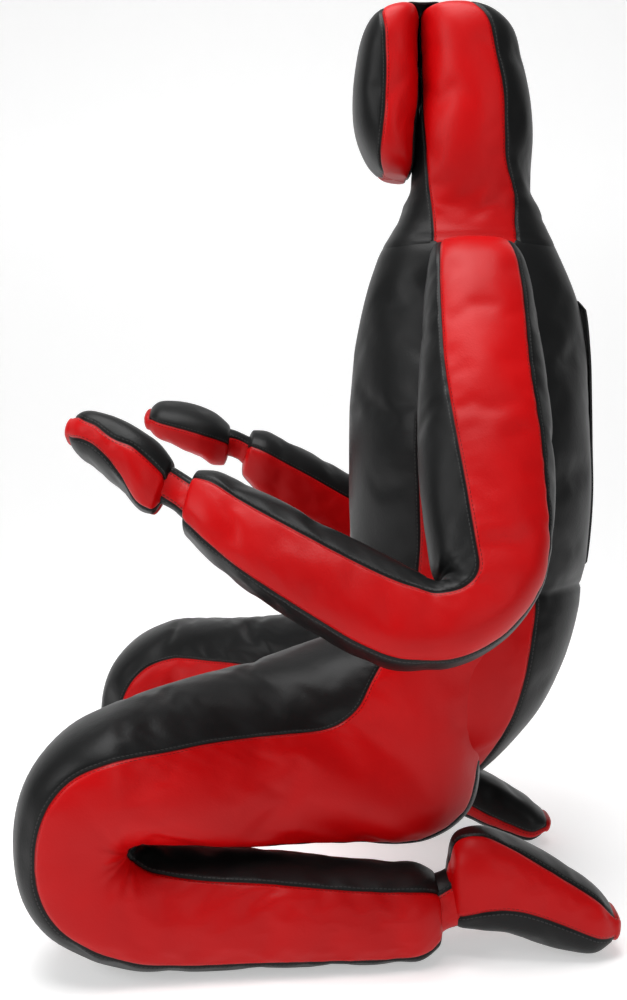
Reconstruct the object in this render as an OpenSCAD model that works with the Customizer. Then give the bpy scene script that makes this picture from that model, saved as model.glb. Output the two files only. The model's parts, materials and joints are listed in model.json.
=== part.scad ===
// Kneeling stuffed grappling dummy, facing -Y, its left side at +X, standing on its shins at Z = 0.
// Every section is a soft filling wrapped in a sewn cover: black panels before and behind, red gussets at the sides.
// A bendable stuffed piece closes the cover at the neck, waist, shoulders, elbows, wrists, hips and ankles.

/* [Cover] */
// thickness of the coated cover fabric, mm
cover_t = 3; // [2:0.5:4]
// squareness of the stuffed sections, 2 is an ellipse
squareness = 2.6; // [2.2:0.1:3.2]

/* [Widths] */
// width of the head block from side to side, mm
head_w = 156; // [140:2:170]
// width of the face pad, mm
face_w = 140; // [120:2:150]
// width of the chest, mm
chest_w = 300; // [290:2:304]
// width of the pelvis, mm
pelvis_w = 330; // [310:2:340]
// width of the upper arm, mm
arm_w = 104; // [90:2:108]
// width of the forearm, mm
forearm_w = 86; // [76:2:96]
// width of the hand, mm
hand_w = 76; // [64:2:84]
// width of the thigh at the knee, mm
knee_w = 166; // [150:2:176]
// width of the shin, mm
shin_w = 118; // [108:2:130]
// width of the foot, mm
foot_w = 84; // [76:2:96]

/* [Pose] */
// how far the arms lean away from the trunk, degrees
arm_spread = 26; // [25:0.5:29]
// how much further the right elbow is closed than the left one, degrees
right_elbow_close = 6; // [0:1:8]
// how far the right arm hangs back from the left one, degrees
right_arm_back = 3.5; // [0:0.5:5]
// how far the right hand drops at the wrist from the left one's line, degrees
right_wrist_drop = 14; // [0:1:16]
// distance of each knee from the middle, mm
knee_x = 240; // [230:2:250]
// distance of the left ankle from the middle, mm
left_ankle_x = 214; // [205:1:220]
// distance of the right ankle from the middle, mm
right_ankle_x = 160; // [155:1:170]

/* [Back strap] */
// width of the sewn strap down the back, mm
strap_w = 44; // [30:2:60]
// how far the strap stands proud, mm
strap_t = 4; // [3:0.5:5]

/* [Hidden] */
shoulder = [118, 155, 729];
right_shoulder_lift = 24;
elbow_pivot = [-58, -384];
wrist_pivot = [-302, -294];
shoulder_pivot = [0, 0];
join_gap = 0.02;
steps = 5;
seams_trunk = [22, 158, 218, 322];
seams_head = [62, 118, 199, 341];
seams_pelvis = [40, 140, 222, 318];
seams_limb = [34, 138, 236, 300];
seams_hand = [8, 156, 240, 308];
seams_leg = [36, 144, 246, 294];
seams_foot = [58, 166, 218, 346];
seams_pad = [3, 177, 250, 290];
black = [0.07, 0.07, 0.075];
red = [0.72, 0.03, 0.04];
stuffing = [0.86, 0.85, 0.82];

// A station is one cross-section: [front y, front z, rear y, rear z, half width, middle x].
// Along a limb "front" is the upper or outer edge and "rear" the one across from it.

trunk_stations = [
  [62, 735, 256, 735, 76, 0],
  [54, 710, 270, 710, 84, 0],
  [42, 668, 286, 668, 91, 0],
  [33, 613, 291, 613, 112, 0],
  [29, 557, 293, 557, chest_w / 2 - 14, 0],
  [29, 505, 294, 505, chest_w / 2, 0],
  [31, 450, 294, 450, chest_w / 2, 0],
  [33, 400, 292, 400, 146, 0],
  [27, 356, 287, 356, 146, 0]
];

head_stations = [
  [116, 1008, 168, 1008, 40, 0],
  [106, 1001, 184, 1001, 62, 0],
  [103, 984, 203, 984, head_w / 2 - 3, 0],
  [104, 942, 219, 942, head_w / 2, 0],
  [105, 897, 228, 897, head_w / 2, 0],
  [102, 857, 231, 857, head_w / 2 - 3, 0],
  [100, 819, 230, 819, 70, 0],
  [95, 797, 230, 797, 64, 0],
  [85, 778, 239, 778, 60, 0],
  [76, 759, 249, 759, 58, 0]
];

pad_stations = [
  [72, 1003, 98, 1001, face_w / 2 - 22, 0],
  [55, 996, 101, 993, face_w / 2 - 8, 0],
  [40, 977, 100, 974, face_w / 2 - 2, 0],
  [31, 943, 100, 940, face_w / 2, 0],
  [27, 899, 99, 896, face_w / 2, 0],
  [30, 863, 97, 861, face_w / 2 - 1, 0],
  [38, 838, 95, 835, face_w / 2 - 3, 0],
  [49, 821, 93, 817, face_w / 2 - 8, 0],
  [61, 811, 91, 808, face_w / 2 - 16, 0]
];

pelvis_stations = [
  [20, 336, 272, 336, 148, 0],
  [21, 312, 266, 306, 158, 0],
  [34, 277, 256, 274, pelvis_w / 2, 0],
  [48, 240, 238, 235, pelvis_w / 2, 0],
  [63, 200, 216, 194, pelvis_w / 2 - 8, 0],
  [78, 166, 192, 162, pelvis_w / 2 - 26, 0],
  [93, 136, 170, 134, pelvis_w / 2 - 48, 0],
  [104, 122, 154, 120, pelvis_w / 2 - 72, 0]
];

// Arms are laid out in their own plane: y forwards and z upwards from the shoulder.
upper_arm_stations = [
  [-47, -29, 46, -27, 36, 0],
  [-54, -64, 51, -64, 44, 0],
  [-60, -112, 56, -118, arm_w / 2 - 2, 0],
  [-63, -170, 60, -176, arm_w / 2, 0],
  [-65, -226, 61, -237, arm_w / 2, 0],
  [-64, -300, 57, -300, arm_w / 2 - 2, 0],
  [-61, -351, 52, -343, arm_w / 2 - 4, 0],
  [-59, -377, 48, -361, arm_w / 2 - 5, 0]
];

elbow_stations = [
  [-59, -377, 48, -361, arm_w / 2 - 5, 0],
  [-57, -380, 39, -390, arm_w / 2 - 5, 0],
  [-57, -383, 20, -420, arm_w / 2 - 6, 0],
  [-59, -386, -3, -441, forearm_w / 2 + 2, 0],
  [-62, -388, -27, -455, forearm_w / 2 + 1, 0],
  [-67, -388, -50, -462, forearm_w / 2, 0]
];

forearm_stations = [
  [-67, -388, -50, -462, forearm_w / 2, 0],
  [-79, -377, -73, -465, forearm_w / 2, 0],
  [-102, -364, -99, -463, forearm_w / 2, 0],
  [-130, -348, -134, -450, forearm_w / 2, 0],
  [-167, -327, -172, -429, forearm_w / 2 - 1, 0],
  [-206, -305, -211, -404, forearm_w / 2 - 3, 0],
  [-245, -285, -250, -377, forearm_w / 2 - 5, 0],
  [-272, -275, -283, -347, forearm_w / 2 - 8, 0],
  [-286, -278, -299, -327, forearm_w / 2 - 14, 0]
];

wrist_stations = [
  [-288, -282, -299, -319, 17, 0],
  [-297, -275, -308, -312, 16, 0],
  [-308, -268, -319, -305, 17, 0]
];

hand_stations = [
  [-309, -262, -329, -315, 24, 0],
  [-320, -248, -343, -308, hand_w / 2 - 6, 0],
  [-337, -235, -359, -289, hand_w / 2, 0],
  [-357, -223, -376, -275, hand_w / 2, 0],
  [-378, -215, -392, -261, hand_w / 2 - 2, 0],
  [-398, -211, -406, -251, hand_w / 2 - 8, 0],
  [-411, -217, -416, -240, hand_w / 2 - 18, 0]
];

// Thigh, folded knee and shin in one row of stations; the last number is how far along the leg it is.
function thigh_x(f) = 98 + (knee_x - 98) * f;
function shin_x(ankle_x, f) = knee_x + (ankle_x - knee_x) * f;

function leg_stations(ankle_x) = [
  [14, 300, 92, 86, 76, thigh_x(0.06)],
  [-32, 284, 34, 92, 78, thigh_x(0.3)],
  [-83, 276, -26, 102, 80, thigh_x(0.56)],
  [-141, 267, -92, 116, knee_w / 2, thigh_x(0.8)],
  [-188, 259, -149, 127, knee_w / 2, thigh_x(0.93)],
  [-219, 252, -175, 133, knee_w / 2, thigh_x(0.98)],
  [-262, 232, -185, 132, knee_w / 2, knee_x],
  [-290, 202, -188, 130, knee_w / 2, knee_x],
  [-304, 160, -190, 127, knee_w / 2 - 2, knee_x],
  [-306, 121, -190, 124, knee_w / 2 - 4, knee_x],
  [-298, 78, -189, 121, knee_w / 2 - 7, knee_x],
  [-279, 46, -187, 118, knee_w / 2 - 10, knee_x],
  [-242, 21, -180, 113, shin_w / 2 + 12, shin_x(ankle_x, 0.04)],
  [-203, 8, -166, 107, shin_w / 2 + 8, shin_x(ankle_x, 0.12)],
  [-147, 0, -127, 102, shin_w / 2 + 4, shin_x(ankle_x, 0.3)],
  [-70, 0, -68, 97, shin_w / 2 + 1, shin_x(ankle_x, 0.5)],
  [-3, 0, -3, 90, shin_w / 2 - 1, shin_x(ankle_x, 0.7)],
  [66, 0, 62, 84, shin_w / 2 - 5, shin_x(ankle_x, 0.9)],
  [101, 8, 97, 79, shin_w / 2 - 14, ankle_x]
];

function ankle_stations(ankle_x) = [
  [100, 22, 99, 72, 26, ankle_x],
  [112, 28, 112, 72, 22, ankle_x - 1],
  [127, 30, 126, 82, 25, ankle_x - 2]
];

// One foot lies flatter than the other: height scales its upper edge.
function foot_stations(ankle_x, toe_in, height) = [
  [128, 120 * height, 127, 29, foot_w / 2 - 16, ankle_x - 2],
  [149, 127 * height, 148, 25, foot_w / 2 - 4, ankle_x - 4],
  [180, 117 * height, 176, 21, foot_w / 2, ankle_x - 4 - toe_in * 0.25],
  [208, 102 * height, 203, 13, foot_w / 2, ankle_x - 4 - toe_in * 0.5],
  [237, 84 * height, 233, 5, foot_w / 2, ankle_x - 4 - toe_in * 0.75],
  [264, 63 * height, 260, 3, foot_w / 2 - 5, ankle_x - 4 - toe_in * 0.95],
  [281, 44 * height, 277, 14, foot_w / 2 - 16, ankle_x - 4 - toe_in]
];

left_toe_in = 4;
right_toe_in = 48;
left_foot_height = 1;
right_foot_height = 0.77;
hip_gap = 10;

// ---- shape of one cross-section ----

function power(v, e) = sign(v) * pow(abs(v), e);
function seam_angle(seams, i) = let (
    k = floor(i / steps),
    f = i / steps - k,
    a = seams[k],
    b = k == 3 ? seams[0] + 360 : seams[k + 1]
  ) a + (b - a) * f;
function around(seams) = [for (i = [0 : 4 * steps - 1]) seam_angle(seams, i)];

function section(s, seams, inset) = let (
    e = 2 / squareness,
    my = (s[0] + s[2]) / 2,
    mz = (s[1] + s[3]) / 2,
    dy = (s[0] - s[2]) / 2,
    dz = (s[1] - s[3]) / 2,
    h = norm([dy, dz]),
    angles = around(seams),
    top = max([for (a = angles) power(sin(a), e)]),
    kh = inset < 0 ? 0.06 : (h - inset) / h,
    kw = inset < 0 ? 0.06 : (s[4] - inset) / s[4]
  ) [for (a = angles)
      [
        s[5] + s[4] * kw * power(cos(a), e),
        my + dy * kh * power(sin(a), e) / top,
        mz + dz * kh * power(sin(a), e) / top
      ]
  ];

// A closed end draws the lining of the cover together to a small spot, so that the cover caps the filling.
function sleeve(stations, seams, inset, closed_first, closed_last) = [
  for (k = [0 : len(stations) - 1])
    section(
      stations[k],
      seams,
      inset > 0 && ((k == 0 && closed_first) || (k == len(stations) - 1 && closed_last)) ? -1 : inset
    )
];

// ---- closed solids from rows of points ----

function volume6(p, f, i = 0, sum = 0) =
  i == len(f) ? sum : volume6(p, f, i + 1, sum + cross(p[f[i][0]], p[f[i][1]]) * p[f[i][2]]);

module closed_solid(p, f) {
  turned = volume6(p, f) > 0;
  polyhedron(points = p, faces = turned ? [for (t = f) [t[2], t[1], t[0]]] : f, convexity = 6);
}

function flatten(rows) = [for (r = rows) for (q = r) q];
function mean(r) = [for (k = [0 : 2]) sum_of(r, k) / len(r)];
function sum_of(r, k, i = 0) = i == len(r) ? 0 : r[i][k] + sum_of(r, k, i + 1);

module stuffed(rows) {
  m = len(rows);
  n = len(rows[0]);
  p = concat(flatten(rows), [mean(rows[0]), mean(rows[m - 1])]);
  side = [for (k = [0 : m - 2]) for (i = [0 : n - 1]) let (j = (i + 1) % n)
      each [
        [k * n + i, (k + 1) * n + i, k * n + j],
        [k * n + j, (k + 1) * n + i, (k + 1) * n + j]
      ]];
  ends = [for (i = [0 : n - 1]) let (j = (i + 1) % n)
      each [
        [m * n, i, j],
        [m * n + 1, (m - 1) * n + j, (m - 1) * n + i]
      ]];
  closed_solid(p, concat(side, ends));
}

module panel(outer, inner, which) {
  m = len(outer);
  n = len(outer[0]);
  w = steps + 1;
  column = [for (i = [0 : steps]) (which * steps + i) % n];
  p = concat(
    [for (k = [0 : m - 1]) for (c = column) outer[k][c]],
    [for (k = [0 : m - 1]) for (c = column) inner[k][c]]
  );
  q = m * w;
  faces_out = [for (k = [0 : m - 2]) for (i = [0 : w - 2])
      each [
        [k * w + i, (k + 1) * w + i, k * w + i + 1],
        [k * w + i + 1, (k + 1) * w + i, (k + 1) * w + i + 1]
      ]];
  faces_in = [for (t = faces_out) [q + t[2], q + t[1], q + t[0]]];
  edge_a = [for (k = [0 : m - 2])
      each [
        [k * w, q + k * w, (k + 1) * w],
        [(k + 1) * w, q + k * w, q + (k + 1) * w]
      ]];
  edge_b = [for (k = [0 : m - 2]) let (b = k * w + w - 1)
      each [
        [b, b + w, q + b],
        [b + w, q + b + w, q + b]
      ]];
  cap_a = [for (i = [0 : w - 2])
      each [
        [i, i + 1, q + i],
        [i + 1, q + i + 1, q + i]
      ]];
  z = (m - 1) * w;
  cap_b = [for (i = [0 : w - 2])
      each [
        [z + i, q + z + i, z + i + 1],
        [z + i + 1, q + z + i, q + z + i + 1]
      ]];
  closed_solid(p, concat(faces_out, faces_in, edge_a, edge_b, cap_a, cap_b));
}

// Panels are numbered 0 front, 1 right side, 2 rear, 3 left side of the section.
module filling_of(stations, seams, first, last) {
  color(stuffing) stuffed(sleeve(stations, seams, cover_t, first, last));
}

module panels_of(stations, seams, first, last, which, tint) {
  outer = sleeve(stations, seams, 0, false, false);
  inner = sleeve(stations, seams, cover_t, first, last);
  color(tint) for (k = which) panel(outer, inner, k);
}

function blend_row(a, b, f) = [for (i = [0 : len(a) - 1]) a[i] + (b[i] - a[i]) * f];

// A bend fills the room between two sections and stops just short of both.
module bend_of(rows, tint) {
  m = len(rows);
  first = blend_row(rows[0], rows[1], join_gap);
  last = blend_row(rows[m - 1], rows[m - 2], join_gap);
  middle = m > 2 ? [for (k = [1 : m - 2]) rows[k]] : [];
  color(tint) stuffed(concat([first], middle, [last]));
}

// ---- placing the limbs ----

function turned_station(s, angle, pivot) = let (
    c = cos(angle),
    d = sin(angle),
    ay = s[0] - pivot[0],
    az = s[1] - pivot[1],
    by = s[2] - pivot[0],
    bz = s[3] - pivot[1]
  ) [
    pivot[0] + ay * c - az * d,
    pivot[1] + ay * d + az * c,
    pivot[0] + by * c - bz * d,
    pivot[1] + by * d + bz * c,
    s[4],
    s[5]
  ];

// The right arm hangs back a little, its elbow is closed further and its hand drops at the wrist.
function back_angle(side) = side < 0 ? right_arm_back : 0;
function close_angle(side) = side < 0 ? -right_elbow_close : 0;
function drop_angle(side) = side < 0 ? right_wrist_drop : 0;

function turned(stations, angle, pivot) = [for (s = stations) turned_station(s, angle, pivot)];
function turned_bend(stations, angle, pivot) = let (n = len(stations) - 1)
  [for (k = [0 : n]) turned_station(stations[k], angle * k / n, pivot)];

function posed_upper_arm(side) = turned(upper_arm_stations, back_angle(side), shoulder_pivot);
function posed_elbow(side) =
  turned(turned_bend(elbow_stations, close_angle(side), elbow_pivot), back_angle(side), shoulder_pivot);
function posed_forearm(side) =
  turned(turned(forearm_stations, close_angle(side), elbow_pivot), back_angle(side), shoulder_pivot);
function posed_wrist(side) = turned(
    turned(turned_bend(wrist_stations, drop_angle(side), wrist_pivot), close_angle(side), elbow_pivot),
    back_angle(side),
    shoulder_pivot
  );
function posed_hand(side) = turned(
    turned(turned(hand_stations, drop_angle(side), wrist_pivot), close_angle(side), elbow_pivot),
    back_angle(side),
    shoulder_pivot
  );

// From the arm's own plane to the dummy: the arm leans out by arm_spread on its side.
module on_shoulder(side) {
  translate([side * shoulder[0], shoulder[1], shoulder[2] + (side < 0 ? right_shoulder_lift : 0)])
    rotate([0, -side * arm_spread, 0])
      mirror([side < 0 ? 1 : 0, 0, 0])
        children();
}

module on_side(side) {
  mirror([side < 0 ? 1 : 0, 0, 0]) children();
}

// ---- head and face pad ----

module head_filling() {
  filling_of(head_stations, seams_head, true, false);
}

module head_black_panels() {
  panels_of(head_stations, seams_head, true, false, [0, 2], black);
}

module head_red_gussets() {
  panels_of(head_stations, seams_head, true, false, [1, 3], red);
}

module face_pad_filling() {
  filling_of(pad_stations, seams_pad, true, true);
}

module face_panel() {
  panels_of(pad_stations, seams_pad, true, true, [0], black);
}

module face_pad_band() {
  panels_of(pad_stations, seams_pad, true, true, [1, 2, 3], red);
}

module neck_bend() {
  bend_of(
    [
      section(head_stations[len(head_stations) - 1], seams_head, 0),
      section([66, 747, 254, 747, 68, 0], seams_head, 0),
      section(trunk_stations[0], seams_head, 0)
    ],
    black
  );
}

// ---- trunk ----

module torso_filling() {
  filling_of(trunk_stations, seams_trunk, false, false);
}

module torso_front_panel() {
  panels_of(trunk_stations, seams_trunk, false, false, [0], black);
}

module torso_back_panel() {
  panels_of(trunk_stations, seams_trunk, false, false, [2], black);
}

module torso_left_gusset() {
  panels_of(trunk_stations, seams_trunk, false, false, [3], red);
}

module torso_right_gusset() {
  panels_of(trunk_stations, seams_trunk, false, false, [1], red);
}

// The strap follows the curve of the back and stands proud of it.
strap_path = [
  [289, 664],
  [294, 613],
  [296, 557],
  [297, 505],
  [297, 450],
  [295, 404],
  [291, 372]
];

module back_strap() {
  n = len(strap_path);
  outline = concat(
    [for (k = [0 : n - 1]) strap_path[k]],
    [for (k = [0 : n - 1]) let (q = strap_path[n - 1 - k]) [q[0] + strap_t, q[1]]]
  );
  color(black)
    translate([-strap_w / 2, 0, 0])
      rotate([90, 0, 90])
        linear_extrude(height = strap_w)
          polygon(outline);
}

module waist_bend() {
  bend_of(
    [
      section(trunk_stations[len(trunk_stations) - 1], seams_trunk, 0),
      section([22, 346, 280, 346, 145, 0], seams_trunk, 0),
      section(pelvis_stations[0], seams_trunk, 0)
    ],
    black
  );
}

module pelvis_filling() {
  filling_of(pelvis_stations, seams_pelvis, false, true);
}

module pelvis_front_panel() {
  panels_of(pelvis_stations, seams_pelvis, false, true, [0], black);
}

module pelvis_back_panel() {
  panels_of(pelvis_stations, seams_pelvis, false, true, [2], black);
}

module pelvis_gussets() {
  panels_of(pelvis_stations, seams_pelvis, false, true, [1, 3], red);
}

// ---- arms ----

module shoulder_bend(side) {
  arm_top = posed_upper_arm(side)[0];
  on_shoulder(side)
    bend_of(
      [
        section([-30, 2, 32, 2, 12, -8], seams_limb, 0),
        section([-40, -12, 40, -12, 26, -4], seams_limb, 0),
        section(arm_top, seams_limb, 0)
      ],
      black
    );
}

module upper_arm_filling(side) {
  on_shoulder(side) filling_of(posed_upper_arm(side), seams_limb, false, false);
}

module upper_arm_black_panels(side) {
  on_shoulder(side) panels_of(posed_upper_arm(side), seams_limb, false, false, [0, 2], black);
}

module upper_arm_red_gussets(side) {
  on_shoulder(side) panels_of(posed_upper_arm(side), seams_limb, false, false, [1, 3], red);
}

module elbow_bend(side) {
  on_shoulder(side) bend_of([for (s = posed_elbow(side)) section(s, seams_limb, 0)], red);
}

module forearm_filling(side) {
  on_shoulder(side) filling_of(posed_forearm(side), seams_limb, false, false);
}

module forearm_black_panels(side) {
  on_shoulder(side) panels_of(posed_forearm(side), seams_limb, false, false, [0, 2], black);
}

module forearm_red_gussets(side) {
  on_shoulder(side) panels_of(posed_forearm(side), seams_limb, false, false, [1, 3], red);
}

module wrist_bend(side) {
  on_shoulder(side) bend_of([for (s = posed_wrist(side)) section(s, seams_limb, 0)], red);
}

module hand_filling(side) {
  on_shoulder(side) filling_of(posed_hand(side), seams_hand, false, true);
}

module hand_black_panels(side) {
  on_shoulder(side) panels_of(posed_hand(side), seams_hand, false, true, [0, 2], black);
}

module hand_red_band(side) {
  on_shoulder(side) panels_of(posed_hand(side), seams_hand, false, true, [1, 3], red);
}

// ---- legs and feet ----

function ankle_of(side) = side < 0 ? right_ankle_x : left_ankle_x;
function toe_in_of(side) = side < 0 ? right_toe_in : left_toe_in;
function height_of(side) = side < 0 ? right_foot_height : left_foot_height;

module hip_bend(side) {
  thigh_top = leg_stations(ankle_of(side))[0];
  on_side(side)
    bend_of(
      [
        section([22, 299, 99, 94, 74, 96], seams_leg, 0),
        section(thigh_top, seams_leg, 0)
      ],
      black
    );
}

module leg_filling(side) {
  on_side(side) filling_of(leg_stations(ankle_of(side)), seams_leg, false, false);
}

module leg_black_panels(side) {
  on_side(side) panels_of(leg_stations(ankle_of(side)), seams_leg, false, false, [0, 2], black);
}

module leg_red_gussets(side) {
  on_side(side) panels_of(leg_stations(ankle_of(side)), seams_leg, false, false, [1, 3], red);
}

module ankle_bend(side) {
  on_side(side)
    bend_of([for (s = ankle_stations(ankle_of(side))) section(s, seams_foot, 0)], black);
}

module foot_filling(side) {
  on_side(side) filling_of(foot_stations(ankle_of(side), toe_in_of(side), height_of(side)), seams_foot, false, true);
}

module foot_black_panels(side) {
  on_side(side)
    panels_of(foot_stations(ankle_of(side), toe_in_of(side), height_of(side)), seams_foot, false, true, [0, 2], black);
}

module foot_red_band(side) {
  on_side(side)
    panels_of(foot_stations(ankle_of(side), toe_in_of(side), height_of(side)), seams_foot, false, true, [1, 3], red);
}

module left_shoulder_bend() { shoulder_bend(1); }
module left_upper_arm_filling() { upper_arm_filling(1); }
module left_upper_arm_black_panels() { upper_arm_black_panels(1); }
module left_upper_arm_red_gussets() { upper_arm_red_gussets(1); }
module left_elbow_bend() { elbow_bend(1); }
module left_forearm_filling() { forearm_filling(1); }
module left_forearm_black_panels() { forearm_black_panels(1); }
module left_forearm_red_gussets() { forearm_red_gussets(1); }
module left_wrist_bend() { wrist_bend(1); }
module left_hand_filling() { hand_filling(1); }
module left_hand_black_panels() { hand_black_panels(1); }
module left_hand_red_band() { hand_red_band(1); }
module right_shoulder_bend() { shoulder_bend(-1); }
module right_upper_arm_filling() { upper_arm_filling(-1); }
module right_upper_arm_black_panels() { upper_arm_black_panels(-1); }
module right_upper_arm_red_gussets() { upper_arm_red_gussets(-1); }
module right_elbow_bend() { elbow_bend(-1); }
module right_forearm_filling() { forearm_filling(-1); }
module right_forearm_black_panels() { forearm_black_panels(-1); }
module right_forearm_red_gussets() { forearm_red_gussets(-1); }
module right_wrist_bend() { wrist_bend(-1); }
module right_hand_filling() { hand_filling(-1); }
module right_hand_black_panels() { hand_black_panels(-1); }
module right_hand_red_band() { hand_red_band(-1); }
module left_hip_bend() { hip_bend(1); }
module left_leg_filling() { leg_filling(1); }
module left_leg_black_panels() { leg_black_panels(1); }
module left_leg_red_gussets() { leg_red_gussets(1); }
module left_ankle_bend() { ankle_bend(1); }
module left_foot_filling() { foot_filling(1); }
module left_foot_black_panels() { foot_black_panels(1); }
module left_foot_red_band() { foot_red_band(1); }
module right_hip_bend() { hip_bend(-1); }
module right_leg_filling() { leg_filling(-1); }
module right_leg_black_panels() { leg_black_panels(-1); }
module right_leg_red_gussets() { leg_red_gussets(-1); }
module right_ankle_bend() { ankle_bend(-1); }
module right_foot_filling() { foot_filling(-1); }
module right_foot_black_panels() { foot_black_panels(-1); }
module right_foot_red_band() { foot_red_band(-1); }

head_filling();
head_black_panels();
head_red_gussets();
face_pad_filling();
face_panel();
face_pad_band();
neck_bend();
torso_filling();
torso_front_panel();
torso_back_panel();
torso_left_gusset();
torso_right_gusset();
back_strap();
waist_bend();
pelvis_filling();
pelvis_front_panel();
pelvis_back_panel();
pelvis_gussets();
left_shoulder_bend();
left_upper_arm_filling();
left_upper_arm_black_panels();
left_upper_arm_red_gussets();
left_elbow_bend();
left_forearm_filling();
left_forearm_black_panels();
left_forearm_red_gussets();
left_wrist_bend();
left_hand_filling();
left_hand_black_panels();
left_hand_red_band();
right_shoulder_bend();
right_upper_arm_filling();
right_upper_arm_black_panels();
right_upper_arm_red_gussets();
right_elbow_bend();
right_forearm_filling();
right_forearm_black_panels();
right_forearm_red_gussets();
right_wrist_bend();
right_hand_filling();
right_hand_black_panels();
right_hand_red_band();
left_hip_bend();
left_leg_filling();
left_leg_black_panels();
left_leg_red_gussets();
left_ankle_bend();
left_foot_filling();
left_foot_black_panels();
left_foot_red_band();
right_hip_bend();
right_leg_filling();
right_leg_black_panels();
right_leg_red_gussets();
right_ankle_bend();
right_foot_filling();
right_foot_black_panels();
right_foot_red_band();
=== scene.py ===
"""Kneeling stuffed grappling dummy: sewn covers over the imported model, +Z up and facing -Y."""
import json
import math

import bmesh
import bpy
import numpy as np
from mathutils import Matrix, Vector


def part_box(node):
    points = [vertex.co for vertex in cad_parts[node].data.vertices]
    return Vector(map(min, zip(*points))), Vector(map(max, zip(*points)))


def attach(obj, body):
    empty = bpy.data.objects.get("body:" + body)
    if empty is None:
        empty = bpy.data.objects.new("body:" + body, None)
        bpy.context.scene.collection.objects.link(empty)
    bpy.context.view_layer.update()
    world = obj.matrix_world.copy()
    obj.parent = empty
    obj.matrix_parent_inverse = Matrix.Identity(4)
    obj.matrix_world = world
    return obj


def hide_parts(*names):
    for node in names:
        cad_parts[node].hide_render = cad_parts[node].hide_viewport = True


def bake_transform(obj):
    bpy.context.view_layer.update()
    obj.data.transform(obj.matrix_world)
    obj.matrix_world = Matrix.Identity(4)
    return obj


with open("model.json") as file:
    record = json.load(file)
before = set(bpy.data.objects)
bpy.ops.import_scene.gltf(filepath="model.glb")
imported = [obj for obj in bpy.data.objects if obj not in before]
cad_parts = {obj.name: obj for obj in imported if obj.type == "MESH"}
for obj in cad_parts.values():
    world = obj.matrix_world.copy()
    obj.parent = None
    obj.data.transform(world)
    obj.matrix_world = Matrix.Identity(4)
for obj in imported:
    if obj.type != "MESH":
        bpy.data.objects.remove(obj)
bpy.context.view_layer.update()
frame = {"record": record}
scene = bpy.context.scene

MM = 0.001
SIDES = ("left", "right")
BLACK = "black_cover"
RED = "red_cover"
STRAP = "strap"
TONES = [BLACK, RED]
PANEL_TONES = [BLACK, RED, BLACK, RED]

# ---------------------------------------------------------------- sizes, in millimetres

# Where the arms hang: the shoulder in the dummy's frame, the joints in the arm's own plane.
SHOULDER = (118, 155, 729)
ARM_SPREAD = math.radians(26)
SHOULDER_PIVOT = (0, 0)
ELBOW = (-58, -384)
WRIST_PIVOT = (-302, -294)

# How the right arm differs from the left one.
RIGHT_SHOULDER_LIFT = 24
RIGHT_ELBOW_CLOSE = math.radians(6)
RIGHT_ARM_BACK = math.radians(3.5)
RIGHT_WRIST_DROP = math.radians(14)

# The legs and feet, which differ from side to side too.
KNEE_X = 240
ANKLE_X = {"left": 214, "right": 160}
TOE_IN = {"left": 4, "right": 48}
ANKLE_Y = 114
FOOT_LENGTH = {"left": 1.0, "right": 0.95}
FOOT_HEIGHT = {"left": 1.0, "right": 0.77}

NECK_JOIN = 735
WAIST_SEAM = 348
KNEE_FOLD = (-192, 125)
HIP_FOLD = (20, 300)

STRAP_WIDTH = 44
STRAP_THICKNESS = 2.4
STRAP_HEM = 10
STRAP_TOP = 672
STRAP_FOOT = 360
HINGE_FROM, HINGE_TO = 86, 124
HINGE_TOP = 1008.5
HINGE_HALF = 38
HINGE_THICKNESS = 1.8

# How finely the covers are cut up, and how square their sections are.
SQUARENESS = 2.6
TRUNK_SQUARENESS = 2.4
ROW_SPACING = 9.0
COLUMN_SPACING = 9.0
SMALL_ROW_SPACING = {"neck": 4, "hand": 6, "foot": 7}
OUTLINE_POINTS = 721
CAP_ROWS = 5
CAP_TURN = math.radians(86)

# The stuffing: how hard it presses, for how many frames, and the most that it may move the cover.
STUFFING_PRESSURE = 3.2
CLOTH_FRAMES = 14
MOST_MOVE = 9
NECK_HOLD = 45

# Seams, their puckers and their stitching.
SEAM_BANDS = (1.6, 5.0)
HELD_WITHIN = SEAM_BANDS[0] + 0.2
CLEAR_OF_RIM = 4
SEAM_DEPTH = 1.7
SEAM_WIDTH = 1.9
PUCKER_DEPTH = 0.75
PUCKER_REACH = 16
PUCKER_PITCH = 9
STITCH_INSET = 2.8
STITCH_WIDTH = 0.5
STITCH_PITCH = 4.4
STITCH_SHARE = 0.64
FLOOR_CLEARANCE = 0.2

# ---------------------------------------------------------------- seams

# Seam angles go round a section from its +X side: 90 degrees is its front or upper edge, 270 the
# edge across from that.


def seam_pairs(fronts, rears):
    """Seam angles for each section, given how far front and rear seams are from the sides."""
    return [(a, 180 - a, 180 + b, 360 - b) for a, b in zip(fronts, rears)]


def seam_sides(outer_fronts, inner_fronts, inner_rears, outer_rears):
    """The same for a limb whose outer and inner sides are cut differently."""
    cuts = zip(outer_fronts, inner_fronts, inner_rears, outer_rears)
    return [(a, 180 - b, 180 + c, 360 - d) for a, b, c, d in cuts]


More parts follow.
